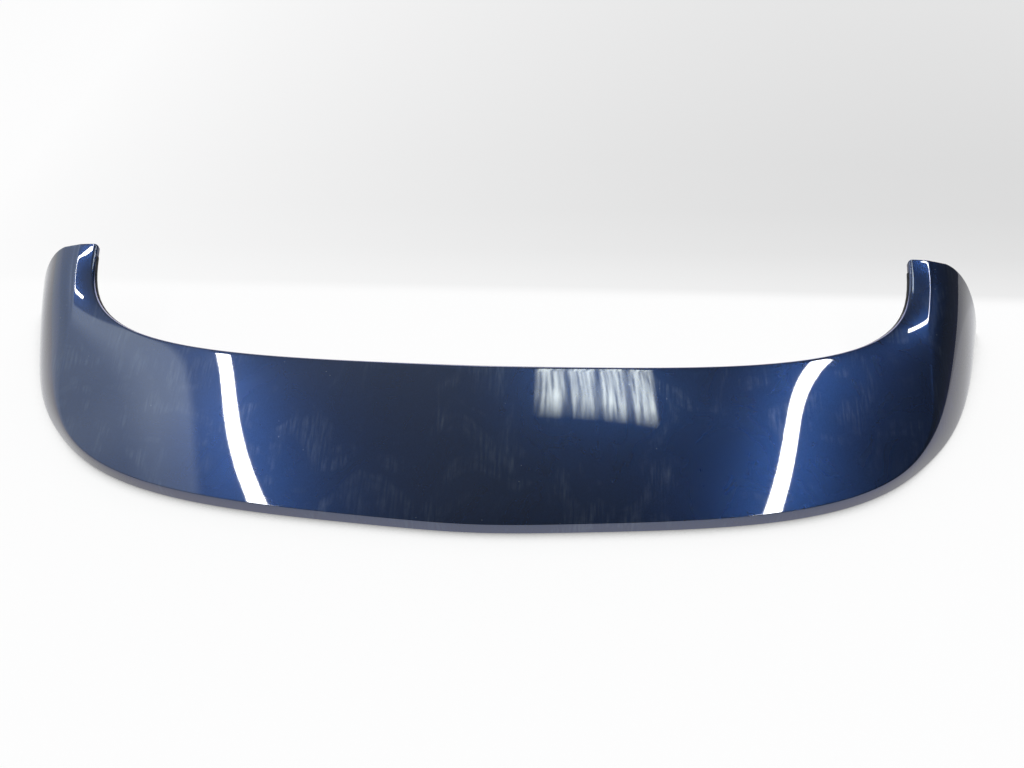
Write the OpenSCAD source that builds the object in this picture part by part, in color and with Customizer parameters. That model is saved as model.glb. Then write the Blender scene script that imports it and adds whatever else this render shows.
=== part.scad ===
// Spoiler for the top edge of a tailgate: a painted outer skin glued to a
// ribbed inner panel, with four steel studs, their foam seals and the soft
// strip that closes the gap to the roof.
//
// X runs across the car, +Y forward along the arms and +Z up. The origin lies
// under the middle of the trailing edge, on the surface that the rim rests on.
// Each section of the two shells stands in an upright plane through the hub, a
// point on the centreline level with the arm tips. A section point is
// [distance from the hub, height]. The station angle is 0 at the middle of the
// trailing edge, -90 at the left arm tip and 90 at the right one.

/* [Plan] */
// Width between the shoulder lines at the arm tips
shoulder_w = 1008; // [950:1:1070]
// Width of one outer cheek at its arm tip
cheek_w = 96; // [82:1:114]
// Width of the flat top of an arm at its tip
arm_top_w = 22.5; // [18:0.5:34]
// Length from the trailing edge to the arm tips
arm_l = 319; // [295:1:355]
// Depth of the blade on the centreline
blade_d = 157; // [140:1:175]
// Squareness of the shoulder line at the arms
shoulder_square = 3.85; // [3.2:0.05:4.2]
// Squareness of the shoulder line at the centreline
shoulder_square_mid = 2; // [2:0.05:2.6]
// Squareness of the front edge at the arms
front_square = 2.7; // [2.4:0.05:3.2]
// Squareness of the front edge at the centreline
front_square_mid = 2; // [2:0.05:3.2]

/* [Heights] */
// Height of the front edge at the arm tips
tip_h = 112; // [100:1:122]
// Height of the front edge on the centreline
centre_h = 86; // [78:1:96]
// Fall of the front edge from the centreline to the width of the arms
crown = 22.5; // [12:0.5:28]
// How late the front edge climbs again along the arms
arm_sweep = 2.1; // [1.4:0.1:2.4]
// Fall of an arm's top from the front edge to the shoulder at the tip
arm_fall = 1; // [0:0.5:6]
// Height of the upright face along the trailing edge
trailing_h = 16; // [12:1:20]
// Rise of the blade's top above a straight line, on the centreline
blade_camber = 2; // [1:0.25:5]

/* [Cheeks] */
// Station angle at which the cheeks begin
cheek_start = 66; // [60:0.5:68]
// How softly they set in, as a station angle
cheek_onset = 5; // [2:0.5:7]
// How far the shoulder line draws in between the corner and the arm tip
waist = 11.5; // [0:0.5:16]
// Share of its width over which a cheek stays level before it turns down
cheek_bulge = 0.55; // [0.4:0.05:0.7]
// Share of its height over which a cheek stands upright at its foot
cheek_foot = 0.05; // [0:0.05:0.3]
// Width of the crease facet at the arm tips
crease_w = 5.5; // [4:0.5:8]
// Fall of the crease facet at the arm tips
crease_fall = 1; // [0.6:0.1:2]
// Share of the cheek's growth at which the crease begins
crease_start = 0.12; // [0.05:0.01:0.3]
// Width of the small bevel on the trailing edge
edge_bevel = 0.8; // [0.5:0.1:1.5]
// Reach of the rim beyond the shoulder at the trailing edge
rim_reach = 2; // [1.5:0.5:4]

/* [Skin] */
// Wall of the outer skin
skin_t = 3; // [2.4:0.1:3.6]
// Radius along the front edge
front_r = 3; // [2:0.5:4]
// Depth of the flange that hangs from the front edge
flange_d = 8; // [6:0.5:10]
// Depth of the flange round each arm tip
tip_flange_d = 9; // [6:0.5:10]
// Thickness of the flange round each arm tip
tip_flange_t = 3; // [2:0.5:5]

/* [Inner panel] */
// Wall of the inner panel
panel_t = 2.5; // [2:0.1:3]
// Depth of the panel's front edge below the front edge of the skin
panel_d = 11; // [10:0.5:14]
// Thickness of the adhesive between the shells
glue_t = 0.3; // [0.2:0.1:0.6]
// Station angle at which the inner panel ends
panel_end_angle = 86; // [82:0.5:87]
// Number of stiffening ribs under the panel
rib_count = 9; // [5:2:13]
// Station angle between two ribs
rib_angle = 14; // [12:0.5:15]
// Thickness of a rib
rib_t = 2; // [1.6:0.1:3]
// Depth of a rib below the panel
rib_d = 8; // [5:0.5:10]
// Distance between a rib's rear end and the rear edge of the web
rib_clear = 24; // [18:1:40]

/* [Fixings] */
// Number of studs
stud_count = 4; // [2:2:4]
// Distance between two studs
stud_pitch = 170; // [150:1:180]
// Distance of the studs from the trailing edge
stud_y = 95; // [85:1:105]
// Radius of a stud
stud_r = 3; // [2.5:0.5:4]
// Free length of a stud below its boss
stud_l = 16; // [12:1:18]
// Length of the thinner end of a stud, which is screwed into its boss
stud_grip = 8; // [6:0.5:9]
// Radius of that thinner end
grip_r = 2.5; // [2:0.25:3]
// Height of the stud ends above the surface that the rim rests on
stud_clear = 5; // [3:0.5:7]
// Radius of a stud boss
boss_r = 12; // [10:0.5:14]
// Radius of the collar on a stud
collar_r = 6.5; // [5.5:0.5:8]
// Thickness of the collar on a stud
collar_t = 1.6; // [1:0.1:2.5]
// Thickness of a foam seal
foam_t = 5; // [3:0.5:8]
// Gap round a part that is fitted by hand
fit_gap = 0.2; // [0.1:0.05:0.4]
// Radius of the guide pin under each arm
pin_r = 4; // [3:0.5:5]
// Length of a guide pin
pin_l = 14; // [10:1:15]
// Radius of a guide pin's boss
pin_boss_r = 8; // [7:0.5:10]
// Station angle of the guide pins
pin_angle = 81; // [78:0.5:83]

/* [Front seal] */
// Thickness of the front seal strip
seal_t = 1.5; // [1:0.25:2.5]
// Height of the front seal strip
seal_h = 4; // [3:0.5:5]
// Distance from an arm tip to the end of the strip
seal_inset = 12; // [8:1:20]

/* [Hidden] */
paint_blue = [0.13, 0.20, 0.36];
moulded_black = [0.10, 0.10, 0.11];
zinc_grey = [0.72, 0.73, 0.72];
foam_grey = [0.25, 0.25, 0.26];
rubber_black = [0.05, 0.05, 0.05];
station_angle = 2;
top_steps = 6;
cheek_steps = 8;
inner_steps = 5;
edge_steps = 3;
// How far a joining or cutting shape runs past the face that it meets
root = 1;
$fn = 48;

shoulder_half_w = shoulder_w / 2;
front_half_w = shoulder_half_w - arm_top_w;
front_d = arm_l - blade_d;
seat_z = stud_clear + stud_l;
rib_span = (rib_count - 1) * rib_angle / 2;
stud_x = [for (i = [0 : stud_count - 1]) (i - (stud_count - 1) / 2) * stud_pitch];

// Plan: distance from the hub of a rounded outline with half width w and depth d
function squareness(a, at_arm, at_mid) = at_arm + (at_mid - at_arm) * pow(cos(a), 2);
function outline(a, w, d, n) = pow(pow(abs(sin(a)) / w, n) + pow(abs(cos(a)) / d, n), -1 / n);
function front_radius(a) =
    outline(a, front_half_w, front_d, squareness(a, front_square, front_square_mid));
function full_radius(a) =
    outline(a, shoulder_half_w, arm_l - rim_reach, squareness(a, shoulder_square, shoulder_square_mid));

// Share of its full size that the cheek has reached: it sets in softly, then grows evenly
function onset(u) = (u + sqrt(u * u + cheek_onset * cheek_onset)) / 2;
function growth(a) = let (none = onset(-cheek_start), all = onset(90 - cheek_start))
    (onset(abs(a) - cheek_start) - none) / (all - none);
function shoulder_radius(a) = full_radius(a) - waist * pow(sin(180 * growth(a)), 2);
function crease_share(a) = max(0, growth(a) - crease_start) / (1 - crease_start);
function rim_radius(a) = full_radius(a) + rim_reach + (cheek_w - rim_reach) * growth(a);

// Heights along the front edge and the shoulder line
function front_height(a) =
    let (
        across = front_radius(a) * abs(sin(a)) / front_half_w,
        forward = max(0, 1 - front_radius(a) * cos(a) / front_d))
    centre_h - crown * pow(across, 2) + (tip_h - centre_h + crown) * pow(forward, arm_sweep);
function shoulder_height(a) = trailing_h + (tip_h - arm_fall - trailing_h) * growth(a);

// The top between the front edge and the shoulder, at distance r from the hub
function top_share(a, r) = (r - front_radius(a)) / (shoulder_radius(a) - front_radius(a));
function camber(a) = blade_camber * (shoulder_radius(a) - front_radius(a)) / blade_d;
function top_height(a, r) =
    let (u = top_share(a, r))
    front_height(a) + (shoulder_height(a) - front_height(a)) * u + camber(a) * 4 * u * (1 - u);
function top_slope(a) =
    (front_height(a) - shoulder_height(a) + 4 * camber(a)) / (shoulder_radius(a) - front_radius(a));
function upright(a, t) = t * sqrt(1 + pow(top_slope(a), 2));

// Where the cheek starts, after the bevel or crease facet beside the shoulder
function facet_w(a) = edge_bevel + (crease_w - edge_bevel) * crease_share(a);
function facet_fall(a) = edge_bevel * (1 - crease_share(a)) * top_slope(a)
    + (crease_fall + arm_fall / arm_top_w * crease_w) * crease_share(a);
function cheek_slope(a) = top_slope(a) * (1 - crease_share(a));
function cheek_top(a) =
    [shoulder_radius(a) + facet_w(a), shoulder_height(a) - facet_fall(a)];

// Smooth curve from p, which it leaves at the given slope, down to q
function curve_point(p, h1, h2, q, s) =
    pow(1 - s, 3) * p + 3 * pow(1 - s, 2) * s * h1 + 3 * (1 - s) * s * s * h2 + pow(s, 3) * q;
function cheek_curve(p, q, slope, s) =
    let (corner = [q[0], max(p[1] - slope * (q[0] - p[0]), p[1] / 2)])
    curve_point(p, p + cheek_bulge * (corner - p), [q[0], q[1] + cheek_foot * p[1]], q, s);

// A point of the skin's inner side over the cheek, t below the outer side
function inner_cheek(a, t, s) =
    let (p = cheek_top(a))
    cheek_curve([p[0] - t / 2, p[1] - upright(a, t)], [rim_radius(a) - t, 0], cheek_slope(a), s);
function inner_top(a, t, r) = top_height(a, r) - upright(a, t);

// The outer side of the skin, from the foot of the front flange to the rim
function outer_side(a) =
    let (r = front_radius(a), z = front_height(a), r1 = r + front_r, z1 = top_height(a, r1))
    concat(
        [[r, z - flange_d]],
        [for (i = [0 : edge_steps])
            let (s = i / edge_steps, low = [r, z - front_r], bend = [r, z])
            pow(1 - s, 2) * low + 2 * s * (1 - s) * bend + s * s * [r1, z1]],
        [for (i = [1 : top_steps])
            let (q = r1 + (shoulder_radius(a) - r1) * i / top_steps)
            [q, top_height(a, q)]],
        [for (i = [0 : cheek_steps])
            cheek_curve(cheek_top(a), [rim_radius(a), 0], cheek_slope(a), i / cheek_steps)]);

// The inner side of the skin, from the rim back to the foot of the front flange
function inner_side(a, t) =
    let (r = front_radius(a) + skin_t, r2 = inner_cheek(a, t, 0)[0], r1 = front_radius(a) + t)
    concat(
        [for (i = [inner_steps : -1 : 0]) inner_cheek(a, t, i / inner_steps)],
        [for (i = [inner_steps - 1 : -1 : 0])
            let (q = r1 + (r2 - r1) * i / inner_steps)
            [q, inner_top(a, t, q)]],
        [[r1, front_height(a) - flange_d]]);

function place(a, p) = [p[0] * sin(a), arm_l - p[0] * cos(a), p[1]];

// Skins a row of closed sections, one for each station, and closes both ends
module sweep_sections(angles, sections) {
    n = len(sections[0]);
    last = len(sections) - 1;
    points = [for (i = [0 : last]) for (p = sections[i]) place(angles[i], p)];
    sides = [for (i = [0 : last - 1]) for (j = [0 : n - 1])
        let (k = (j + 1) % n, b = i * n, c = (i + 1) * n)
        each [[b + j, b + k, c + k], [b + j, c + k, c + j]]];
    start_cap = [for (j = [n - 1 : -1 : 0]) j];
    end_cap = [for (j = [0 : n - 1]) last * n + j];
    polyhedron(points, concat(sides, [start_cap, end_cap]), convexity = 10);
}

// Stations of the skin: even steps, and close pairs that form the tip flanges
tip_turn = atan(tip_flange_t / shoulder_half_w);
flange_turn = atan(1.3 * tip_flange_t / shoulder_half_w);
skin_half = concat(
    [for (a = [0 : station_angle : 90 - station_angle]) a],
    [90 - flange_turn, 90 - tip_turn, 90]);
skin_angles = concat(
    [for (i = [len(skin_half) - 1 : -1 : 1]) -skin_half[i]],
    skin_half);
function skin_wall(a) = abs(a) > 90 - (tip_turn + flange_turn) / 2 ? tip_flange_d : skin_t;

module outer_skin() {
    color(paint_blue)
    sweep_sections(skin_angles,
        [for (a = skin_angles) concat(outer_side(a), inner_side(a, skin_wall(a)))]);
}

// The panel's web runs from the front flange down to the rim, inside the skin
panel_gap = skin_t + glue_t;
web_low_share = 0.8;
web_high_share = 0.6;
function web_front(a) = [front_radius(a) + panel_gap, front_height(a) - panel_d];
function web_rear(a) = inner_cheek(a, panel_gap, web_low_share);
function web_slope(a) =
    (web_front(a)[1] - web_rear(a)[1]) / (web_rear(a)[0] - web_front(a)[0]);
function web_height(a, r) = web_front(a)[1] - web_slope(a) * (r - web_front(a)[0]);
function web_upright(a) = panel_t * sqrt(1 + pow(web_slope(a), 2));

function panel_section(a) =
    let (
        front = web_front(a),
        rear = web_rear(a),
        foot = inner_cheek(a, panel_gap, web_high_share),
        up = web_upright(a),
        front_in = front[0] + panel_t,
        rear_in = foot[0] - panel_t,
        leg_z = inner_top(a, skin_t, front_in) - glue_t)
    [
        [front[0], leg_z],
        front,
        rear,
        foot,
        [rear_in, foot[1]],
        [rear_in, web_height(a, rear_in) + up],
        [front_in, web_height(a, front_in) + up],
        [front_in, leg_z]
    ];

// A rib hangs from the web and ends in two slopes
module rib(a) {
    r0 = web_front(a)[0] + rib_d;
    r1 = web_rear(a)[0] - rib_clear;
    rotate([0, 0, a])
    translate([0, rib_t / 2, 0])
    rotate([90, 0, 0])
    linear_extrude(rib_t)
    polygon([
        [r0, web_height(a, r0) + root],
        [r1, web_height(a, r1) + root],
        [r1 - rib_d, web_height(a, r1 - rib_d) - rib_d],
        [r0 + rib_d, web_height(a, r0 + rib_d) - rib_d]
    ]);
}

// Polar place of a point under the blade
function station_of(x, y) = atan2(x, arm_l - y);
function reach_of(x, y) = norm([x, arm_l - y]);
function boss_top(x, y) = web_height(station_of(x, y), reach_of(x, y)) + panel_t;
pin_reach = (web_front(pin_angle)[0] + web_rear(pin_angle)[0]) / 2;
pin_x = pin_reach * sin(pin_angle);
pin_y = arm_l - pin_reach * cos(pin_angle);

module post(x, y, r, z0, z1) {
    translate([x, y, z0])
    cylinder(r = r, h = z1 - z0);
}

module guide_pin(side) {
    tip = pin_r / 2;
    post(side * pin_x, pin_y, pin_boss_r, seat_z, boss_top(pin_x, pin_y));
    post(side * pin_x, pin_y, pin_r, seat_z - pin_l + tip, seat_z + root);
    translate([side * pin_x, pin_y, seat_z - pin_l])
    cylinder(r1 = pin_r - tip, r2 = pin_r, h = tip);
}

module inner_panel() {
    angles = [for (a = [-panel_end_angle : station_angle : panel_end_angle]) a];
    color(moulded_black)
    difference() {
        union() {
            sweep_sections(angles, [for (a = angles) panel_section(a)]);
            for (i = [0 : rib_count - 1])
                translate([0, arm_l, 0])
                rotate([0, 0, -90])
                rib(rib_angle * i - rib_span);
            for (x = stud_x)
                post(x, stud_y, boss_r, seat_z, boss_top(x, stud_y));
            guide_pin(-1);
            guide_pin(1);
        }
        for (x = stud_x)
            post(x, stud_y, grip_r + fit_gap / 2, seat_z - root, seat_z + stud_grip + fit_gap);
    }
}

module mounting_studs() {
    color(zinc_grey)
    for (x = stud_x) {
        post(x, stud_y, stud_r, stud_clear, seat_z - collar_t);
        post(x, stud_y, collar_r, seat_z - collar_t, seat_z);
        post(x, stud_y, grip_r, seat_z, seat_z + stud_grip);
    }
}

module stud_seals() {
    color(foam_grey)
    for (x = stud_x)
        difference() {
            post(x, stud_y, boss_r, seat_z - foam_t, seat_z);
            post(x, stud_y, collar_r + fit_gap, seat_z - foam_t - root, seat_z + root);
        }
}

// The strip is stuck to the outer side of the front flange
seal_turn = atan(seal_inset / front_half_w);
seal_half = concat(
    [for (a = [0 : station_angle : 90 - station_angle]) a],
    [90 - seal_turn]);
seal_angles = concat(
    [for (i = [len(seal_half) - 1 : -1 : 1]) -seal_half[i]],
    seal_half);
function seal_section(a) =
    let (r = front_radius(a), z = front_height(a) - front_r)
    [
        [r - seal_t, z - seal_t / 2],
        [r, z],
        [r, z - seal_h],
        [r - seal_t, z - seal_h + seal_t / 2]
    ];

module front_seal() {
    color(rubber_black)
    sweep_sections(seal_angles, [for (a = seal_angles) seal_section(a)]);
}

outer_skin();
inner_panel();
mounting_studs();
stud_seals();
front_seal();
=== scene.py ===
# %% [markdown]
# # Tailgate spoiler
# The spoiler is a painted plastic shell that wraps round the top of a car's
# tailgate. Its solids are already modelled at their real size, so this notebook
# gives them the look: a fine skin with soft edges, paint with depth, moulded
# plastic, rubber and steel, and a plain studio. Every length is in metres.

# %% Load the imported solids
import math
import bpy
from mathutils import Matrix, Vector


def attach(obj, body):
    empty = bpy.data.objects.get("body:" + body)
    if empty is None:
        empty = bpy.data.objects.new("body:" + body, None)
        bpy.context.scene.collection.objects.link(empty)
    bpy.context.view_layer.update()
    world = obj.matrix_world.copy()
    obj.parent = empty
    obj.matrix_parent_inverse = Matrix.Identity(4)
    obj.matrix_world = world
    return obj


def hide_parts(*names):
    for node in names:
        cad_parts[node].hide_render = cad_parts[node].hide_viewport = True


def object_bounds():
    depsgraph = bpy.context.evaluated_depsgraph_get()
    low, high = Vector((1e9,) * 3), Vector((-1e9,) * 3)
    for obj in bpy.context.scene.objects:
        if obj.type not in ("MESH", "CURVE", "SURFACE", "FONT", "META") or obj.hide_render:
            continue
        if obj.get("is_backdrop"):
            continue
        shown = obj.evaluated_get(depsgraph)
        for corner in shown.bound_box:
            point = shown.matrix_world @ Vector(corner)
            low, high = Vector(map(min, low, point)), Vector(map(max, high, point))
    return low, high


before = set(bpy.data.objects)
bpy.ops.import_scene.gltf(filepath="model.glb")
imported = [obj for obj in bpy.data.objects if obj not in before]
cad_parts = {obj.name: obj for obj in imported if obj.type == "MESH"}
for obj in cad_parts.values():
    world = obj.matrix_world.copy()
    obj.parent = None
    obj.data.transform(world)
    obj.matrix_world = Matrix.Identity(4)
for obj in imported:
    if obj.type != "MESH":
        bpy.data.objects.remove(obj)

mm = 0.001
solid_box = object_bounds()
print("nodes:", sorted(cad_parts))
print("solid box:", [round(v, 4) for corner in solid_box for v in corner])

# %% [markdown]
# ## Camera
# The photograph was taken by hand from behind the trailing edge and above it.
# A camera is easiest to repeat when its place and its three turns are stated by
# themselves: how far it looks down, how far its heading is turned, and how far
# it is tipped to one side.

# %% Set up the camera
camera_place = Vector((80.5, -438.66, 696.7)) * mm
look_down = 47.0
heading_left = 4.64
tip_over = -1.77
sensor_width_mm = 36.0
image_width_px = 1024
focal_px = 800

camera_data = bpy.data.cameras.new("photo_camera")
camera_data.sensor_width = sensor_width_mm
camera_data.lens = focal_px * sensor_width_mm / image_width_px
camera = bpy.data.objects.new("photo_camera", camera_data)
camera.matrix_world = (
    Matrix.Translation(camera_place)
    @ Matrix.Rotation(math.radians(heading_left), 4, "Z")
    @ Matrix.Rotation(math.radians(90 - look_down), 4, "X")
    @ Matrix.Rotation(math.radians(tip_over), 4, "Z")
)
bpy.context.scene.collection.objects.link(camera)
bpy.context.scene.camera = camera
print("lens:", round(camera_data.lens, 2), "mm")

# %% [markdown]
# ## Small helpers
# Colours are easiest to write as the hex values that a screen shows, but a
# renderer works in linear light, so one function turns the first into the
# second. Another adds a shader node with its settings and inputs in one call.
# The last two turn a list of points into an object and let it ride on its body.

# %% Colour helper
def paint_chip(hex_value):
    """Turns an sRGB hex value into linear red, green, blue and alpha."""
    linear = []
    for i in (0, 2, 4):
        c = int(hex_value[i:i + 2], 16) / 255
        linear.append(c / 12.92 if c <= 0.04045 else ((c + 0.055) / 1.055) ** 2.4)
    return (*linear, 1.0)


print("mid grey is", round(paint_chip("808080")[0], 3), "in linear light")


# %% Node helper
def add_node(tree, kind, inputs=None, **settings):
    """Adds a node, applies its settings, and fills or links its inputs."""
    made = tree.nodes.new(kind)
    for name, value in settings.items():
        setattr(made, name, value)
    for key, value in (inputs or {}).items():
        if isinstance(value, bpy.types.NodeSocket):
            tree.links.new(value, made.inputs[key])
        else:
            made.inputs[key].default_value = value
    return made


def new_finish(name):
    """Makes an empty material and returns it with its node tree and output."""
    material = bpy.data.materials.new(name)
    material.use_nodes = True
    tree = material.node_tree
    tree.nodes.clear()
    return material, tree, add_node(tree, "ShaderNodeOutputMaterial")


# %% Mesh helpers
def make_piece(name, points, faces, finish, slot, smooth_angle=30):
    """Makes a mesh object with outward faces that rides on the one body."""
    mesh = bpy.data.meshes.new(name)
    mesh.from_pydata([tuple(v * mm for v in p) for p in points], [], faces)
    mesh.materials.append(finish)
    mesh.validate()
    piece = bpy.data.objects.new(name, mesh)
    bpy.context.scene.collection.objects.link(piece)
    bpy.context.view_layer.objects.active = piece
    piece.select_set(True)
    bpy.ops.object.mode_set(mode="EDIT")
    bpy.ops.mesh.select_all(action="SELECT")
    bpy.ops.mesh.normals_make_consistent(inside=False)
    bpy.ops.object.mode_set(mode="OBJECT")
    bpy.ops.object.shade_smooth_by_angle(angle=math.radians(smooth_angle))
    piece.select_set(False)
    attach(piece, "root")
    return piece


def sweep(sections, close_ring=True):
    """Skins a row of sections with quads. The ends stay open."""
    points = [p for section in sections for p in section]
    n = len(sections[0])
    faces = []
    for i in range(len(sections) - 1):
        for j in range(n if close_ring else n - 1):
            k = (j + 1) % n
            faces.append((i * n + j, i * n + k, (i + 1) * n + k, (i + 1) * n + j))
    return points, faces


# %% [markdown]
# ## The shape of the shell
# The shell is one moulding: a blade in the middle that turns into an arm on each
# side. A row of sections does this well. Each section stands upright on a line
# from a hub on the centreline, level with the arm tips, so the sections turn
# with the shell. The sizes below, in millimetres, are those of the solids.

# %% Driving sizes of the shell
shoulder_half_w = 504
front_half_w = 481.5
cheek_w = 96
arm_top_w = 22.5
arm_l = 319
blade_d = 157
front_d = arm_l - blade_d
rim_reach = 2
shoulder_square = 3.85
shoulder_square_mid = 2
front_square = 2.7
front_square_mid = 2
tip_h = 112
centre_h = 86
crown = 22.5
arm_sweep = 2.1
arm_fall = 1
trailing_h = 16
blade_camber = 2
cheek_start = 66
cheek_onset = 5
waist = 11.5
crease_w = 5.5
crease_fall = 1
crease_start = 0.12
edge_bevel = 0.8
skin_t = 3
front_r = 3
flange_d = 8
tip_flange_d = 9
tip_flange_t = 3
print("shell:", 2 * (shoulder_half_w + cheek_w), "by", arm_l, "mm")


# %% Plan outlines
def sin_deg(a):
    return math.sin(math.radians(a))


def cos_deg(a):
    return math.cos(math.radians(a))


def outline(a, half_w, depth, at_arm, at_mid):
    """Distance from the hub of a rounded outline that changes its squareness."""
    n = at_arm + (at_mid - at_arm) * cos_deg(a) ** 2
    return (abs(sin_deg(a) / half_w) ** n + abs(cos_deg(a) / depth) ** n) ** (-1 / n)


def front_radius(a):
    return outline(a, front_half_w, front_d, front_square, front_square_mid)


def full_radius(a):
    return outline(a, shoulder_half_w, arm_l - rim_reach, shoulder_square, shoulder_square_mid)


def onset(u):
    return (u + math.hypot(u, cheek_onset)) / 2


def growth(a):
    """Share of its full size that the cheek has reached: it sets in softly."""
    none, full = onset(-cheek_start), onset(90 - cheek_start)
    return (onset(abs(a) - cheek_start) - none) / (full - none)


def shoulder_radius(a):
    return full_radius(a) - waist * sin_deg(180 * growth(a)) ** 2


def rim_radius(a):
    return full_radius(a) + rim_reach + (cheek_w - rim_reach) * growth(a)


print("blade depth:", round(shoulder_radius(0) - front_radius(0), 1), "mm")


# %% Heights
def front_height(a):
    across = front_radius(a) * abs(sin_deg(a)) / front_half_w
    forward = max(0.0, 1 - front_radius(a) * cos_deg(a) / front_d)
    return centre_h - crown * across ** 2 + (tip_h - centre_h + crown) * forward ** arm_sweep


def shoulder_height(a):
    return trailing_h + (tip_h - arm_fall - trailing_h) * growth(a)


def camber(a):
    return blade_camber * (shoulder_radius(a) - front_radius(a)) / blade_d


def top_height(a, r):
    u = (r - front_radius(a)) / (shoulder_radius(a) - front_radius(a))
    fall = front_height(a) - shoulder_height(a)
    return front_height(a) - fall * u + camber(a) * 4 * u * (1 - u)


def top_slope(a):
    fall = front_height(a) - shoulder_height(a)
    return (fall + 4 * camber(a)) / (shoulder_radius(a) - front_radius(a))


def upright(a, t):
    """Height of a wall that is t thick square to the top."""
    return t * math.sqrt(1 + top_slope(a) ** 2)


print("slope of the blade:", round(math.degrees(math.atan(top_slope(0)))), "degrees")


# %% Crease and cheek
def crease_share(a):
    return max(0.0, growth(a) - crease_start) / (1 - crease_start)


def cheek_top(a):
    share = crease_share(a)
    width = edge_bevel + (crease_w - edge_bevel) * share
    crease_drop = crease_fall + arm_fall / arm_top_w * crease_w
    fall = edge_bevel * (1 - share) * top_slope(a) + crease_drop * share
    return shoulder_radius(a) + width, shoulder_height(a) - fall


def blend(points, s):
    """Point at share s of a smooth curve with the given end and handle points."""
    if len(points) == 1:
        return points[0]
    nearer = [
        tuple(u + (v - u) * s for u, v in zip(p, q)) for p, q in zip(points, points[1:])
    ]
    return blend(nearer, s)


cheek_bulge = 0.55
cheek_foot = 0.05


def cheek_slope(a):
    return top_slope(a) * (1 - crease_share(a))


def cheek_curve(p, q, slope, s):
    """Leaves p at the given slope and reaches q upright."""
    corner = (q[0], max(p[1] - slope * (q[0] - p[0]), p[1] / 2))
    first = tuple(u + cheek_bulge * (v - u) for u, v in zip(p, corner))
    second = (q[0], q[1] + cheek_foot * p[1])
    return blend([p, first, second, q], s)


def inner_cheek(a, t, s):
    r, z = cheek_top(a)
    start = (r - t / 2, z - upright(a, t))
    return cheek_curve(start, (rim_radius(a) - t, 0), cheek_slope(a), s)


def place(a, p):
    return p[0] * sin_deg(a), arm_l - p[0] * cos_deg(a), p[1]


print("cheek at the tip:", [round(v) for v in cheek_top(90)], "to", rim_radius(90))

# %% [markdown]
# ## The painted skin
# The solids carry the skin in coarse steps. Light on glossy paint shows every
# step, so the skin is made again from the same sizes with far more sections,
# and each edge gets the small radius that a mould and a coat of paint leave.
# A bevel modifier could round the edges, but the crease fades out along the arm,
# and a radius written into the section can fade with it. Two radii are larger
# than in the solids: the front edge has 4.5 mm in place of 3, so that it catches
# a line of light, and the foot of the rim is rounded where the solid is square.

# %% Outer side of one section
edge_r = 1.1
front_edge_r = 4.5
crease_r = 1.6
foot_r = 0.8
rim_r = 2.2
radius_steps = 5
top_steps = 44
cheek_steps = 34
first_share = 0.08


def soft_corner(before, corner, after, reach):
    """Points of a small round between two straight runs."""
    def toward(p):
        away = math.dist(p, corner)
        share = min(reach, away * 0.45) / away
        return tuple(c + (v - c) * share for c, v in zip(corner, p))
    ends = [toward(before), corner, toward(after)]
    return [blend(ends, i / radius_steps) for i in range(radius_steps + 1)]


def share_at_height(p, q, slope, height):
    """Share of the cheek's curve at which it has come down to a height."""
    low, high = 0.0, 1.0
    for _ in range(24):
        middle = (low + high) / 2
        if cheek_curve(p, q, slope, middle)[1] > height:
            low = middle
        else:
            high = middle
    return high


def outer_side(a):
    """From the foot of the front flange, over the top, to the rim."""
    r, z = front_radius(a), front_height(a)
    r1 = r + front_edge_r
    shoulder = (shoulder_radius(a), shoulder_height(a))
    cheek = cheek_top(a)
    share = crease_share(a)
    shoulder_r = edge_r + (crease_r - edge_r) * share
    foot = (r, z - flange_d)
    points = soft_corner((r + skin_t, z - flange_d), foot, (r, z), foot_r)
    bend = [(r, z - front_edge_r), (r, z), (r1, top_height(a, r1))]
    points += [blend(bend, i / 8) for i in range(9)]
    last_r = shoulder[0] - shoulder_r
    for i in range(1, top_steps):
        q = r1 + (last_r - r1) * i / top_steps
        points.append((q, top_height(a, q)))
    last = (last_r - 1, top_height(a, last_r - 1))
    points += soft_corner(last, shoulder, cheek, shoulder_r)
    rim = (rim_radius(a), 0)
    slope = cheek_slope(a)
    next_point = cheek_curve(cheek, rim, slope, first_share)
    points += soft_corner(shoulder, cheek, next_point, crease_r)
    last_share = share_at_height(cheek, rim, slope, rim_r)
    for i in range(2, cheek_steps):
        share = first_share + (last_share - first_share) * (i - 1) / (cheek_steps - 1)
        points.append(cheek_curve(cheek, rim, slope, share))
    above = cheek_curve(cheek, rim, slope, last_share)
    ends = [above, (above[0], 0), (above[0] - rim_r, 0)]
    points += [blend(ends, i / radius_steps) for i in range(radius_steps + 1)]
    return points


print("points on the outer side:", len(outer_side(0)))


# %% Inner side of one section
def inner_side(a, t, count):
    """From the rim back under the top to the front flange, in count points."""
    half = count // 2
    points = [inner_cheek(a, t, 1 - i / half) for i in range(half + 1)]
    r2, r1 = points[-1][0], front_radius(a) + t
    rest = count - len(points) - 1
    for i in range(1, rest + 1):
        q = r2 + (r1 - r2) * i / rest
        points.append((q, top_height(a, q) - upright(a, t)))
    return points + [(r1, front_height(a) - flange_d)]


# %% Rounding at the arm tips
def drawn_in(points, depth):
    """Moves each point of an open run square to it, to its right-hand side."""
    moved = []
    for i, p in enumerate(points):
        before, after = points[max(i - 1, 0)], points[min(i + 1, len(points) - 1)]
        run = math.dist(before, after) or 1.0
        across = ((after[1] - before[1]) / run, (before[0] - after[0]) / run)
        moved.append((p[0] + across[0] * depth, p[1] + across[1] * depth))
    return moved


station_step = 0.4
tip_r = 1.2
tip_turn = math.degrees(math.atan(tip_flange_t / shoulder_half_w))


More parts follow.
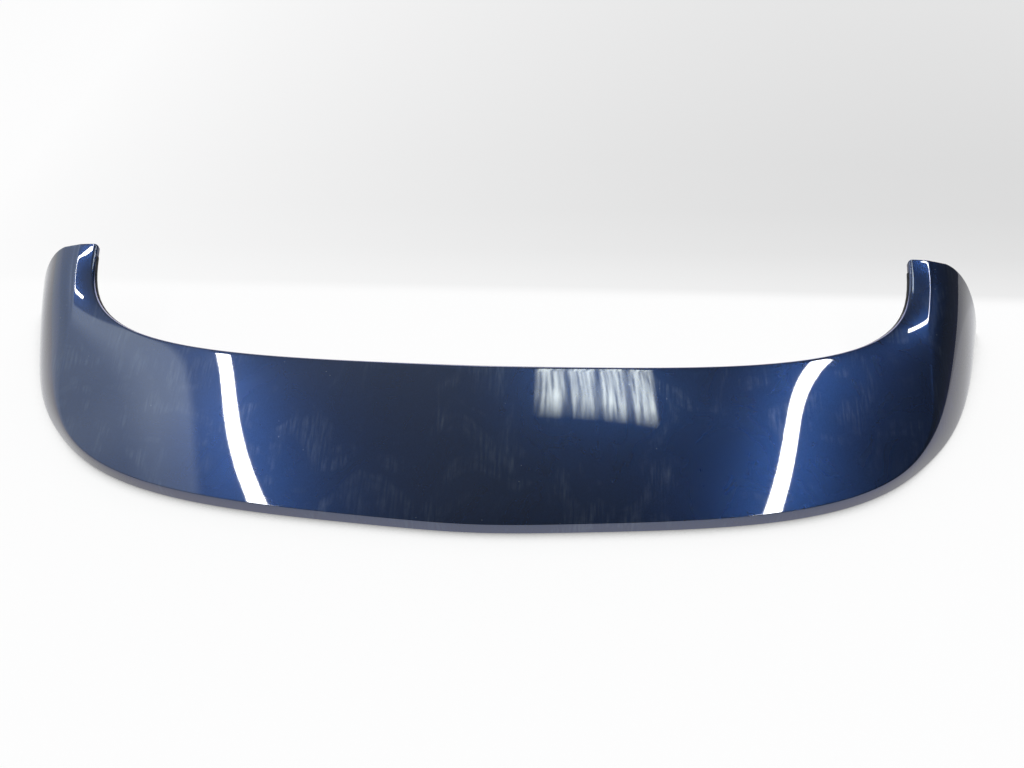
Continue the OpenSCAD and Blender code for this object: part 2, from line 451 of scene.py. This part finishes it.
def skin_stations():
    """Stations from the middle to the tip as (angle, wall, depth drawn in)."""
    even = [(i * station_step, skin_t, 0.0) for i in range(round(89 / station_step))]
    flange = [(90 - 1.3 * tip_turn, skin_t, 0.0), (90 - tip_turn, tip_flange_d, 0.0)]
    tip_round = []
    for i in range(5):
        lift = i / 4 * 90
        back = math.degrees(math.atan(tip_r * (1 - sin_deg(lift)) / shoulder_half_w))
        tip_round.append((90 - back, tip_flange_d, tip_r * (1 - cos_deg(lift))))
    return even + flange + tip_round


half_row = skin_stations()
full_row = [(-a, t, d) for a, t, d in reversed(half_row[1:])] + half_row
print("stations:", len(full_row))

# %% [markdown]
# ## Paint
# The shell is ABS plastic in a metallic blue: a primer, a base coat full of
# aluminium flakes and a thick clear coat. The flakes give a broad soft glow round
# each lamp, and the clear coat gives the sharp mirror image on top of it. So the
# base is a rough blue metal, and the coat is smooth. Real flakes are about
# 0.05 mm wide, too fine for a picture, so they are drawn 0.7 mm wide. A used part
# also carries specks of dust and faint dried marks where a cloth has passed.

# %% Metallic paint
def metallic_paint():
    material, tree, out = new_finish("blue_metallic_paint")
    place_on = add_node(tree, "ShaderNodeTexCoord").outputs["Object"]
    flake_size = 0.7 * mm
    flake = add_node(tree, "ShaderNodeTexVoronoi",
                     {"Vector": place_on, "Scale": 1 / flake_size})
    glint = add_node(tree, "ShaderNodeMapRange",
                     {"Value": flake.outputs["Color"], "To Min": 0.8, "To Max": 1.2})
    smear_size = 55 * mm
    smear = add_node(tree, "ShaderNodeTexNoise",
                     {"Vector": place_on, "Scale": 1 / smear_size,
                      "Detail": 5.0, "Distortion": 1.2})
    blue = add_node(tree, "ShaderNodeMix", data_type="RGBA", blend_type="MULTIPLY")
    blue.inputs["Factor"].default_value = 1.0
    blue.inputs[6].default_value = paint_chip("172D56")
    tree.links.new(glint.outputs[0], blue.inputs[7])
    speck_cell = 16 * mm
    speck = add_node(tree, "ShaderNodeTexVoronoi",
                     {"Vector": place_on, "Scale": 1 / speck_cell})
    speck_share = 0.035
    is_speck = add_node(tree, "ShaderNodeMapRange",
                        {"Value": speck.outputs["Distance"],
                         "From Min": speck_share * 0.6, "From Max": speck_share,
                         "To Min": 0.35, "To Max": 0.0})
    dusty = add_node(tree, "ShaderNodeMix", data_type="RGBA")
    tree.links.new(is_speck.outputs[0], dusty.inputs["Factor"])
    tree.links.new(blue.outputs[2], dusty.inputs[6])
    dusty.inputs[7].default_value = paint_chip("B9C3CC")
    patch = add_node(tree, "ShaderNodeMapRange",
                     {"Value": smear.outputs["Fac"], "From Min": 0.52, "From Max": 0.68})
    brushed = add_node(tree, "ShaderNodeMapping",
                       {"Vector": place_on, "Scale": (1 / (3 * mm), 1 / (26 * mm), 1 / (26 * mm))})
    stroke = add_node(tree, "ShaderNodeTexNoise",
                      {"Vector": brushed.outputs[0], "Scale": 1.0, "Detail": 3.0})
    stroke_share = add_node(tree, "ShaderNodeMapRange",
                            {"Value": stroke.outputs["Fac"], "From Min": 0.4,
                             "From Max": 0.75, "To Max": 0.1})
    film_share = add_node(tree, "ShaderNodeMath",
                          {0: patch.outputs[0], 1: stroke_share.outputs[0]},
                          operation="MULTIPLY")
    filmed = add_node(tree, "ShaderNodeMix", data_type="RGBA")
    tree.links.new(film_share.outputs[0], filmed.inputs["Factor"])
    tree.links.new(dusty.outputs[2], filmed.inputs[6])
    filmed.inputs[7].default_value = paint_chip("A9B7C6")
    base_rough = add_node(tree, "ShaderNodeMapRange",
                          {"Value": smear.outputs["Fac"], "To Min": 0.24,
                           "To Max": 0.32})
    peel_wave = 5 * mm
    peel = add_node(tree, "ShaderNodeTexNoise",
                    {"Vector": place_on, "Scale": 1 / peel_wave, "Detail": 0.0})
    peel_bump = add_node(tree, "ShaderNodeBump",
                         {"Height": peel.outputs["Fac"], "Strength": 1.0,
                          "Distance": 0.002 * mm})
    shader = add_node(tree, "ShaderNodeBsdfPrincipled",
                      {"Base Color": filmed.outputs[2], "Metallic": 0.9,
                       "Roughness": base_rough.outputs[0], "Coat Weight": 1.0,
                       "Coat Roughness": 0.025, "Coat IOR": 1.8,
                       "Specular Tint": paint_chip("5A6C8C"),
                       "Normal": peel_bump.outputs["Normal"],
                       "Coat Normal": peel_bump.outputs["Normal"]})
    tree.links.new(shader.outputs[0], out.inputs[0])
    return material


paint = metallic_paint()
print("made", paint.name)

# %% Build the skin
sections = []
for angle, wall, depth in full_row:
    outer = drawn_in(outer_side(angle), depth)
    inner = inner_side(angle, wall, len(outer))
    sections.append([place(angle, p) for p in outer + inner])
skin_points, skin_faces = sweep(sections)
ring = len(sections[0])
for start in (0, (len(sections) - 1) * ring):
    for j in range(ring // 2 - 1):
        opposite = ring - 1 - j
        skin_faces.append((start + j, start + j + 1, start + opposite - 1, start + opposite))
skin = make_piece("painted_skin", skin_points, skin_faces, paint, "paint")
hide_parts("outer_skin")
print("skin faces:", len(skin_faces))

# %% [markdown]
# ## Moulded black plastic
# The inner panel is unpainted ABS. A mould for a hidden part is eroded by sparks
# and left that way, which gives a fine grain and a dull sheen.

# %% Black moulded plastic
def moulded_plastic(name, colour, grain_mm):
    material, tree, out = new_finish(name)
    place_on = add_node(tree, "ShaderNodeTexCoord").outputs["Object"]
    grain = add_node(tree, "ShaderNodeTexNoise",
                     {"Vector": place_on, "Scale": 1 / (grain_mm * mm), "Detail": 3.0})
    dust = add_node(tree, "ShaderNodeTexNoise",
                    {"Vector": place_on, "Scale": 1 / (45 * mm), "Detail": 5.0})
    dust_share = add_node(tree, "ShaderNodeMapRange",
                          {"Value": dust.outputs["Fac"], "From Min": 0.5,
                           "From Max": 0.8, "To Max": 0.25})
    shade = add_node(tree, "ShaderNodeMix", data_type="RGBA")
    tree.links.new(dust_share.outputs[0], shade.inputs["Factor"])
    shade.inputs[6].default_value = paint_chip(colour)
    shade.inputs[7].default_value = paint_chip("5A5A58")
    rough = add_node(tree, "ShaderNodeMapRange",
                     {"Value": grain.outputs["Fac"], "To Min": 0.45, "To Max": 0.65})
    bump = add_node(tree, "ShaderNodeBump",
                    {"Height": grain.outputs["Fac"], "Strength": 0.25,
                     "Distance": 0.2 * mm})
    shader = add_node(tree, "ShaderNodeBsdfPrincipled",
                      {"Base Color": shade.outputs[2],
                       "Roughness": rough.outputs[0],
                       "Normal": bump.outputs["Normal"]})
    tree.links.new(shader.outputs[0], out.inputs[0])
    return material


black_plastic = moulded_plastic("black_abs", "232426", 0.8)
foam = moulded_plastic("grey_foam", "3A3A3C", 1.2)
seal_rubber = moulded_plastic("black_rubber", "18181A", 0.6)
print("made", black_plastic.name, foam.name, seal_rubber.name)

# %% Zinc-plated steel
def zinc_plate():
    material, tree, out = new_finish("zinc_plated_steel")
    place_on = add_node(tree, "ShaderNodeTexCoord").outputs["Object"]
    cloud = add_node(tree, "ShaderNodeTexNoise",
                     {"Vector": place_on, "Scale": 1 / (4 * mm), "Detail": 4.0})
    tone = add_node(tree, "ShaderNodeMix", data_type="RGBA")
    tree.links.new(cloud.outputs["Fac"], tone.inputs["Factor"])
    tone.inputs[6].default_value = paint_chip("B9BBB6")
    tone.inputs[7].default_value = paint_chip("D2D3CC")
    rough = add_node(tree, "ShaderNodeMapRange",
                     {"Value": cloud.outputs["Fac"], "To Min": 0.25, "To Max": 0.45})
    shader = add_node(tree, "ShaderNodeBsdfPrincipled",
                      {"Base Color": tone.outputs[2], "Metallic": 1.0,
                       "Roughness": rough.outputs[0]})
    tree.links.new(shader.outputs[0], out.inputs[0])
    return material


zinc = zinc_plate()
print("made", zinc.name)

# %% [markdown]
# ## The hidden side
# Below the skin sit a ribbed inner panel, four studs with foam rings and the
# soft strip on the front flange. Each is made again from the sizes of its solid,
# with what a step closer shows: rounded mould edges, a rolled thread, soft foam.
# Parts that are round about an upright line come from one turned profile.

# %% Sizes of the hidden pieces
panel_t = 2.5
panel_d = 11
glue_t = 0.3
panel_end_angle = 86
panel_gap = skin_t + glue_t
web_low_share = 0.8
web_high_share = 0.6
rib_count = 9
rib_angle = 14
rib_t = 2
rib_d = 8
rib_clear = 24
stud_places = [(-255, 95), (-85, 95), (85, 95), (255, 95)]
seat_z = 21
stud_clear = 5
stud_r = 3
grip_r = 2.5
stud_grip = 8
collar_r = 6.5
collar_t = 1.6
boss_r = 12
foam_t = 5
fit_gap = 0.2
pin_r = 4
pin_l = 14
pin_boss_r = 8
pin_angle = 81
seal_t = 1.5
seal_h = 4
seal_inset = 12
print("studs at", stud_places)


# %% Turned shapes
def turned(centre, profile, steps=40):
    """Turns a closed (radius, height) profile about an upright line."""
    n = len(profile)
    points, faces = [], []
    for k in range(steps):
        c, s = cos_deg(360 * k / steps), sin_deg(360 * k / steps)
        points += [(centre[0] + r * c, centre[1] + r * s, z) for r, z in profile]
        b, after = k * n, (k + 1) % steps * n
        for j in range(n):
            i = (j + 1) % n
            faces.append((b + j, b + i, after + i, after + j))
    return points, faces


def rounded(corners, reaches):
    """Rounds each corner of a closed outline by its own reach."""
    n = len(corners)
    points = []
    for i, reach in enumerate(reaches):
        points += soft_corner(corners[i - 1], corners[i], corners[(i + 1) % n], reach)
    return points


def ring_profile(r0, r1, z0, z1, reach):
    return rounded([(r0, z0), (r1, z0), (r1, z1), (r0, z1)], [reach] * 4)


def joined(shapes):
    """Puts several shapes into one list of points and one of faces."""
    points, faces = [], []
    for more_points, more_faces in shapes:
        base = len(points)
        points += more_points
        faces += [tuple(base + i for i in face) for face in more_faces]
    return points, faces


def capped(sections):
    """A sweep with both ends closed."""
    points, faces = sweep(sections)
    n, last = len(sections[0]), len(points) - len(sections[0])
    return points, faces + [tuple(range(n)), tuple(range(last, last + n))]


print("a turned ring has", len(turned((0, 0), ring_profile(5, 8, 0, 3, 1))[0]), "points")


# %% Inner panel
def web_front(a):
    return front_radius(a) + panel_gap, front_height(a) - panel_d


def web_rear(a):
    return inner_cheek(a, panel_gap, web_low_share)


def web_slope(a):
    front, rear = web_front(a), web_rear(a)
    return (front[1] - rear[1]) / (rear[0] - front[0])


def web_height(a, r):
    front = web_front(a)
    return front[1] - web_slope(a) * (r - front[0])


def panel_section(a):
    front, rear = web_front(a), web_rear(a)
    foot = inner_cheek(a, panel_gap, web_high_share)
    up = panel_t * math.sqrt(1 + web_slope(a) ** 2)
    front_in, rear_in = front[0] + panel_t, foot[0] - panel_t
    leg_z = top_height(a, front_in) - upright(a, skin_t) - glue_t
    corners = [
        (front[0], leg_z), front, rear, foot, (rear_in, foot[1]),
        (rear_in, web_height(a, rear_in) + up), (front_in, web_height(a, front_in) + up),
        (front_in, leg_z)]
    outline_points = rounded(corners, [0.4, 2.0, 2.0, 0.4, 0.4, 0.8, 0.8, 0.4])
    return [place(a, p) for p in outline_points]


def rib(a):
    """A rib that thins from the web to its free edge, as it leaves the mould."""
    r0, r1 = web_front(a)[0] + rib_d, web_rear(a)[0] - rib_clear
    high = [(r0, web_height(a, r0) + 1), (r1, web_height(a, r1) + 1)]
    low_r = [r1 - rib_d, r0 + rib_d]
    low = [(r, web_height(a, r) - rib_d) for r in low_r]
    points = []
    for side in (-1, 1):
        for p, half in zip(high + low, (rib_t / 2, rib_t / 2, rib_t * 0.36, rib_t * 0.36)):
            x, y, z = place(a, p)
            points.append((x + side * half * cos_deg(a), y + side * half * sin_deg(a), z))
    return points, [(0, 1, 2, 3), (4, 5, 6, 7), (0, 1, 5, 4), (1, 2, 6, 5), (2, 3, 7, 6),
                    (3, 0, 4, 7)]


def boss_top(x, y):
    a = math.degrees(math.atan2(x, arm_l - y))
    return web_height(a, math.hypot(x, arm_l - y)) + panel_t / 2


def guide_pin(side):
    reach = (web_front(pin_angle)[0] + web_rear(pin_angle)[0]) / 2
    x, y, _ = place(side * pin_angle, (reach, 0))
    top, axis, tip = boss_top(x, y), 0.05, seat_z - pin_l
    boss = ring_profile(axis, pin_boss_r, seat_z, top, 0.6)
    pin = rounded([(axis, tip), (pin_r / 2, tip), (pin_r, tip + pin_r / 2), (pin_r, seat_z + 1),
                   (axis, seat_z + 1)], [0, 1, 1, 0.2, 0])
    return [turned((x, y), boss), turned((x, y), pin)]


panel_angles = [a / 2 for a in range(-2 * panel_end_angle, 2 * panel_end_angle + 1)]
panel_shapes = [capped([panel_section(a) for a in panel_angles])]
panel_shapes += [rib(rib_angle * (i - (rib_count - 1) / 2)) for i in range(rib_count)]
for x, y in stud_places:
    hole = grip_r + fit_gap / 2
    panel_shapes.append(
        turned((x, y), ring_profile(hole, boss_r, seat_z, boss_top(x, y), 0.6)))
panel_shapes += guide_pin(-1) + guide_pin(1)
panel = make_piece("ribbed_panel", *joined(panel_shapes), black_plastic, "black_plastic")
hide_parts("inner_panel")
print("panel faces:", len(panel.data.polygons))


# %% Studs
def rolled_thread(centre, z0, z1, pitch=1.0, depth=0.55, turn_steps=20, rise_steps=7):
    """A rod whose radius swings once for each turn of the thread."""
    rings = []
    count = round((z1 - z0) / pitch * rise_steps)
    for i in range(count + 1):
        z = z0 + (z1 - z0) * i / count
        lead_in = min(1.0, 0.72 + (z - z0) / 3)
        ring_points = []
        for k in range(turn_steps):
            swing = 0.5 - 0.5 * cos_deg(360 * (z / pitch - k / turn_steps))
            r = min(stud_r - depth * swing, stud_r * lead_in)
            t = 360 * k / turn_steps
            ring_points.append((centre[0] + r * cos_deg(t), centre[1] + r * sin_deg(t), z))
        rings.append(ring_points)
    return capped(rings)


stud_shapes = []
for centre in stud_places:
    collar_z = seat_z - collar_t
    thread_end = collar_z - 1.5
    stud_shapes.append(rolled_thread(centre, stud_clear, thread_end))
    shank = [(0.05, thread_end), (stud_r * 0.9, thread_end), (stud_r * 0.9, collar_z),
             (collar_r, collar_z), (collar_r, seat_z), (grip_r, seat_z),
             (grip_r, seat_z + stud_grip), (0.05, seat_z + stud_grip)]
    stud_shapes.append(turned(centre, rounded(shank, [0, 0.1, 0.3, 0.4, 0.3, 0.2, 0.4, 0])))
studs = make_piece("threaded_studs", *joined(stud_shapes), zinc, "zinc_steel")
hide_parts("mounting_studs")
print("stud faces:", len(studs.data.polygons))

# %% Foam rings
foam_profile = ring_profile(collar_r + fit_gap, boss_r - 0.3, seat_z - foam_t, seat_z, 1.2)
rings = make_piece("foam_rings", *joined([turned(c, foam_profile) for c in stud_places]),
                   foam, "foam")
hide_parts("stud_seals")
print("foam faces:", len(rings.data.polygons))


# %% Front seal
def seal_section(a):
    """A strip with a flat back on the flange and a soft lip."""
    r, z = front_radius(a), front_height(a) - front_r
    corners = [(r - seal_t, z - seal_t / 2), (r, z), (r, z - seal_h),
               (r - seal_t, z - seal_h + seal_t / 2)]
    return [place(a, p) for p in rounded(corners, [1.2, 0.2, 0.2, 1.2])]


seal_end = 90 - math.degrees(math.atan(seal_inset / front_half_w))
seal_steps = 170
strip = make_piece(
    "seal_strip",
    *capped([seal_section(seal_end * (i / seal_steps * 2 - 1)) for i in range(seal_steps + 1)]),
    seal_rubber, "seal_rubber")
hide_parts("front_seal")
print("seal faces:", len(strip.data.polygons))

# %% [markdown]
# ## Studio
# The part lies on a white sheet, with pale grey ground behind it. Two long lamps hang
# overhead and draw the two white stripes across the blade, and a dirty window in
# the roof gives the bright patch between them. Glossy paint shows its whole
# surroundings, so the rest of the room is painted as plain tones by direction:
# a pale wall on the left, a dark ceiling, and a bright wall beyond the part.
#
# Soft lamps alone leave little shade where the rim meets the sheet. So a shadow is
# painted into the floor for camera rays: it darkens by how much of the sky it sees,
# within 40 mm of the part. The grey ground also carries painted light: it turns
# lighter towards the left.
# The room is dimmer than plain light: a matte mid grey comes out about 0.6 as
# bright as it is written, and the paint's colours were chosen in that light.

# %% White floor
def tone_ramp(tree, value, low, high, stops):
    """Grey tones along a value from low to high, through (value, tone) stops."""
    place_in = add_node(tree, "ShaderNodeMapRange",
                        {"Value": value, "From Min": low, "From Max": high})
    ramp = add_node(tree, "ShaderNodeValToRGB", {0: place_in.outputs[0]})
    elements = ramp.color_ramp.elements
    while len(elements) < len(stops):
        elements.new(0.5)
    for element, (where, tone) in zip(elements, stops):
        element.position = (where - low) / (high - low)
        element.color = (tone, tone, tone, 1)
    return ramp.outputs[0]


def white_floor():
    """A white sheet with a soft border, mostly glow for camera and mirror rays. It carries a painted
    shadow near the part and painted light that makes the ground lighter towards the left.
    """
    material, tree, out = new_finish("white_sheet")
    place_on = add_node(tree, "ShaderNodeTexCoord").outputs["Object"]
    split = add_node(tree, "ShaderNodeSeparateXYZ", {0: place_on})
    ground = tone_ramp(tree, split.outputs["Y"], 0.0, 2.0, [
        (0.372, 1.0), (0.39, 0.85), (0.47, 0.76), (0.57, 0.72), (0.7, 0.72),
        (1.0, 0.76), (1.3, 0.79)])
    # Painted light: the grey ground turns lighter towards the left, the lit side of the room.
    from_right = add_node(tree, "ShaderNodeMapRange",
                          {"Value": split.outputs["X"], "From Min": 0.9, "From Max": -0.8})
    painted_light_to_left = add_node(tree, "ShaderNodeMath", {0: from_right.outputs[0], 1: 1.7},
                       operation="POWER")
    tone = add_node(tree, "ShaderNodeMix", data_type="RGBA")
    tree.links.new(painted_light_to_left.outputs[0], tone.inputs["Factor"])
    tree.links.new(ground, tone.inputs[6])
    tone.inputs[7].default_value = (1, 1, 1, 1)
    # Painted shadow: for camera rays the floor darkens where it sees little sky near the part.
    under = add_node(tree, "ShaderNodeAmbientOcclusion", {"Distance": 40 * mm}, samples=8)
    painted_contact_shadow = add_node(tree, "ShaderNodeMapRange",
                       {"Value": under.outputs["AO"], "From Min": 0.5, "From Max": 0.76,
                        "To Min": 0.42, "To Max": 1.0})
    seen = add_node(tree, "ShaderNodeLightPath")
    shade = add_node(tree, "ShaderNodeMapRange",
                     {"Value": seen.outputs["Is Camera Ray"], "To Min": 1.0,
                      "To Max": painted_contact_shadow.outputs[0]})
    shaded = add_node(tree, "ShaderNodeVectorMath",
                      {0: tone.outputs[2], "Scale": shade.outputs[0]}, operation="SCALE")
    sheet = add_node(tree, "ShaderNodeBsdfDiffuse", {"Color": shaded.outputs[0]})
    glow = add_node(tree, "ShaderNodeEmission",
                    {"Color": shaded.outputs[0], "Strength": 1.0})
    direct = add_node(tree, "ShaderNodeMath",
                      {0: seen.outputs["Is Camera Ray"], 1: seen.outputs["Is Glossy Ray"]},
                      operation="MAXIMUM")
    shown = add_node(tree, "ShaderNodeMath",
                     {0: direct.outputs[0], 1: seen.outputs["Is Transmission Ray"]},
                     operation="MAXIMUM")
    glow_share = 0.92
    share = add_node(tree, "ShaderNodeMath", {0: shown.outputs[0], 1: glow_share},
                     operation="MULTIPLY")
    mix = add_node(tree, "ShaderNodeMixShader",
                   {0: share.outputs[0], 1: sheet.outputs[0], 2: glow.outputs[0]})
    tree.links.new(mix.outputs[0], out.inputs[0])
    return material


def flat_card(name, centre, size, turn, finish):
    """A stage card: a rectangle with its centre, size and turn about each axis."""
    half_w, half_d = size[0] / 2, size[1] / 2
    mesh = bpy.data.meshes.new(name)
    corners = [(-half_w, -half_d, 0), (half_w, -half_d, 0), (half_w, half_d, 0), (-half_w, half_d, 0)]
    mesh.from_pydata(corners, [], [(0, 1, 2, 3)])
    mesh.materials.append(finish)
    card = bpy.data.objects.new(name, mesh)
    card.location = centre
    card.rotation_euler = [math.radians(t) for t in turn]
    bpy.context.scene.collection.objects.link(card)
    card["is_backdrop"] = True
    return card


floor = flat_card("floor", (0, 0, 0), (12, 12), (0, 0, 0), white_floor())
print("floor is", floor.dimensions.x, "m wide")


# %% Lamps
def panel_lamp(name, centre, size, radiance, turn=0.0):
    """A flat lamp that hangs level and faces down."""
    lamp = bpy.data.lights.new(name, "AREA")
    lamp.shape = "RECTANGLE"
    lamp.size, lamp.size_y = size
    lamp.energy = radiance * math.pi * size[0] * size[1]
    holder = bpy.data.objects.new(name, lamp)
    holder.location = centre
    holder.rotation_euler = (0, 0, math.radians(turn))
    bpy.context.scene.collection.objects.link(holder)
    return holder


lamp_height = 2.4
tube_width = 0.11
tube_radiance = 26
panel_lamp("left_tube", (-1.604, -0.25, lamp_height), (tube_width, 1.58), tube_radiance, 18)
panel_lamp("right_tube", (1.545, -0.15, lamp_height), (tube_width, 1.7), tube_radiance, -17.5)
print("lamps hang at", lamp_height, "m")


# %% Roof window
def streaked_window(pane_pitch, half_length):
    """Four panes of dirty glass: soft bars between them and streaks along them."""
    material, tree, out = new_finish("dirty_roof_glass")
    place_on = add_node(tree, "ShaderNodeTexCoord").outputs["Object"]
    split = add_node(tree, "ShaderNodeSeparateXYZ", {0: place_on})
    panes = add_node(tree, "ShaderNodeMath", {0: split.outputs["X"], 1: 1 / pane_pitch},
                     operation="MULTIPLY")
    across = add_node(tree, "ShaderNodeMath", {0: panes.outputs[0]}, operation="FRACT")
    off_middle = add_node(tree, "ShaderNodeMath", {0: across.outputs[0], 1: 0.5},
                          operation="SUBTRACT")
    off = add_node(tree, "ShaderNodeMath", {0: off_middle.outputs[0]}, operation="ABSOLUTE")
    bars = add_node(tree, "ShaderNodeMapRange",
                    {"Value": off.outputs[0], "From Min": 0.32, "From Max": 0.46,
                     "To Min": 1.0, "To Max": 0.25})
    reach = add_node(tree, "ShaderNodeMapRange",
                     {"Value": split.outputs["Y"], "From Min": -half_length,
                      "From Max": -0.5 * half_length})
    stretched = add_node(tree, "ShaderNodeMapping",
                         {"Vector": place_on, "Scale": (1 / 0.018, 1 / 0.35, 1)})
    streak = add_node(tree, "ShaderNodeTexNoise",
                      {"Vector": stretched.outputs[0], "Scale": 1.0, "Detail": 4.0})
    level = add_node(tree, "ShaderNodeMapRange",
                     {"Value": streak.outputs["Fac"], "From Min": 0.35, "From Max": 0.65,
                      "To Min": 2.0, "To Max": 12.0})
    barred = add_node(tree, "ShaderNodeMath", {0: level.outputs[0], 1: bars.outputs[0]},
                      operation="MULTIPLY")
    strength = add_node(tree, "ShaderNodeMath", {0: barred.outputs[0], 1: reach.outputs[0]},
                        operation="MULTIPLY")
    glow = add_node(tree, "ShaderNodeEmission",
                    {"Color": paint_chip("E4ECE6"), "Strength": strength.outputs[0]})
    tree.links.new(glow.outputs[0], out.inputs[0])
    return material


pane_pitch = 0.155
window_length = 0.64
window = flat_card("roof_window", (0.39, 0.14, lamp_height), (4 * pane_pitch, window_length),
                   (0, 0, 0), streaked_window(pane_pitch, window_length / 2))
print("window is", round(window.dimensions.x, 2), "m wide")


# %% World
def room_light():
    """Tones by direction: pale on the left, dark on the right, a bright wall ahead."""
    world = bpy.data.worlds.new("studio_room")
    bpy.context.scene.world = world
    world.use_nodes = True
    tree = world.node_tree
    tree.nodes.clear()
    out = add_node(tree, "ShaderNodeOutputWorld")
    toward = add_node(tree, "ShaderNodeTexCoord").outputs["Generated"]
    split = add_node(tree, "ShaderNodeSeparateXYZ", {0: toward})
    slant = add_node(tree, "ShaderNodeMath",
                     {0: split.outputs["Y"], 1: 0.27, 2: split.outputs["X"]},
                     operation="MULTIPLY_ADD")
    across = tone_ramp(tree, slant.outputs[0], -1.0, 1.0, [
        (-1.0, 0.45), (-0.76, 0.36), (-0.71, 0.4), (-0.66, 0.62), (-0.602, 0.62),
        (-0.588, 0.22), (-0.46, 0.14), (-0.2, 0.15), (0.0, 0.12), (0.25, 0.07),
        (0.56, 0.05), (0.7, 0.03), (1.0, 0.04)])
    along = tone_ramp(tree, split.outputs["Y"], -1.0, 1.0, [
        (-1.0, 0.1), (-0.6, 0.1), (-0.45, 0.25), (-0.3, 0.65), (-0.17, 0.8),
        (-0.05, 1.05), (0.05, 1.3), (0.3, 1.3), (1.0, 1.0)])
    ceiling = add_node(tree, "ShaderNodeVectorMath", {0: across, 1: along},
                       operation="MULTIPLY")
    tinted = add_node(tree, "ShaderNodeVectorMath",
                      {0: ceiling.outputs[0], 1: (0.9, 1.0, 1.05)}, operation="MULTIPLY")
    beyond = add_node(tree, "ShaderNodeMapRange",
                      {"Value": split.outputs["Y"], "From Min": 0.62, "From Max": 0.78},
                      interpolation_type="SMOOTHSTEP")
    wall = add_node(tree, "ShaderNodeMix", data_type="RGBA")
    tree.links.new(beyond.outputs[0], wall.inputs["Factor"])
    tree.links.new(tinted.outputs[0], wall.inputs[6])
    bright_wall = (1.6, 1.5, 1.58, 1)
    wall.inputs[7].default_value = bright_wall
    room = add_node(tree, "ShaderNodeBackground",
                    {"Color": wall.outputs[2], "Strength": 2.0})
    plain = add_node(tree, "ShaderNodeBackground",
                     {"Color": paint_chip("ECECEC"), "Strength": 1.0})
    seen = add_node(tree, "ShaderNodeLightPath")
    mix = add_node(tree, "ShaderNodeMixShader",
                   {0: seen.outputs["Is Camera Ray"], 1: room.outputs[0],
                    2: plain.outputs[0]})
    tree.links.new(mix.outputs[0], out.inputs[0])
    return world


print("world:", room_light().name)
bpy.context.scene.view_settings.view_transform = "Standard"

# %% Note both boxes and finish
boxes = {"solid": [list(c) for c in solid_box], "visual": [list(c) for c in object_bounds()]}
print("visual box:", [[round(v, 4) for v in c] for c in boxes["visual"]])
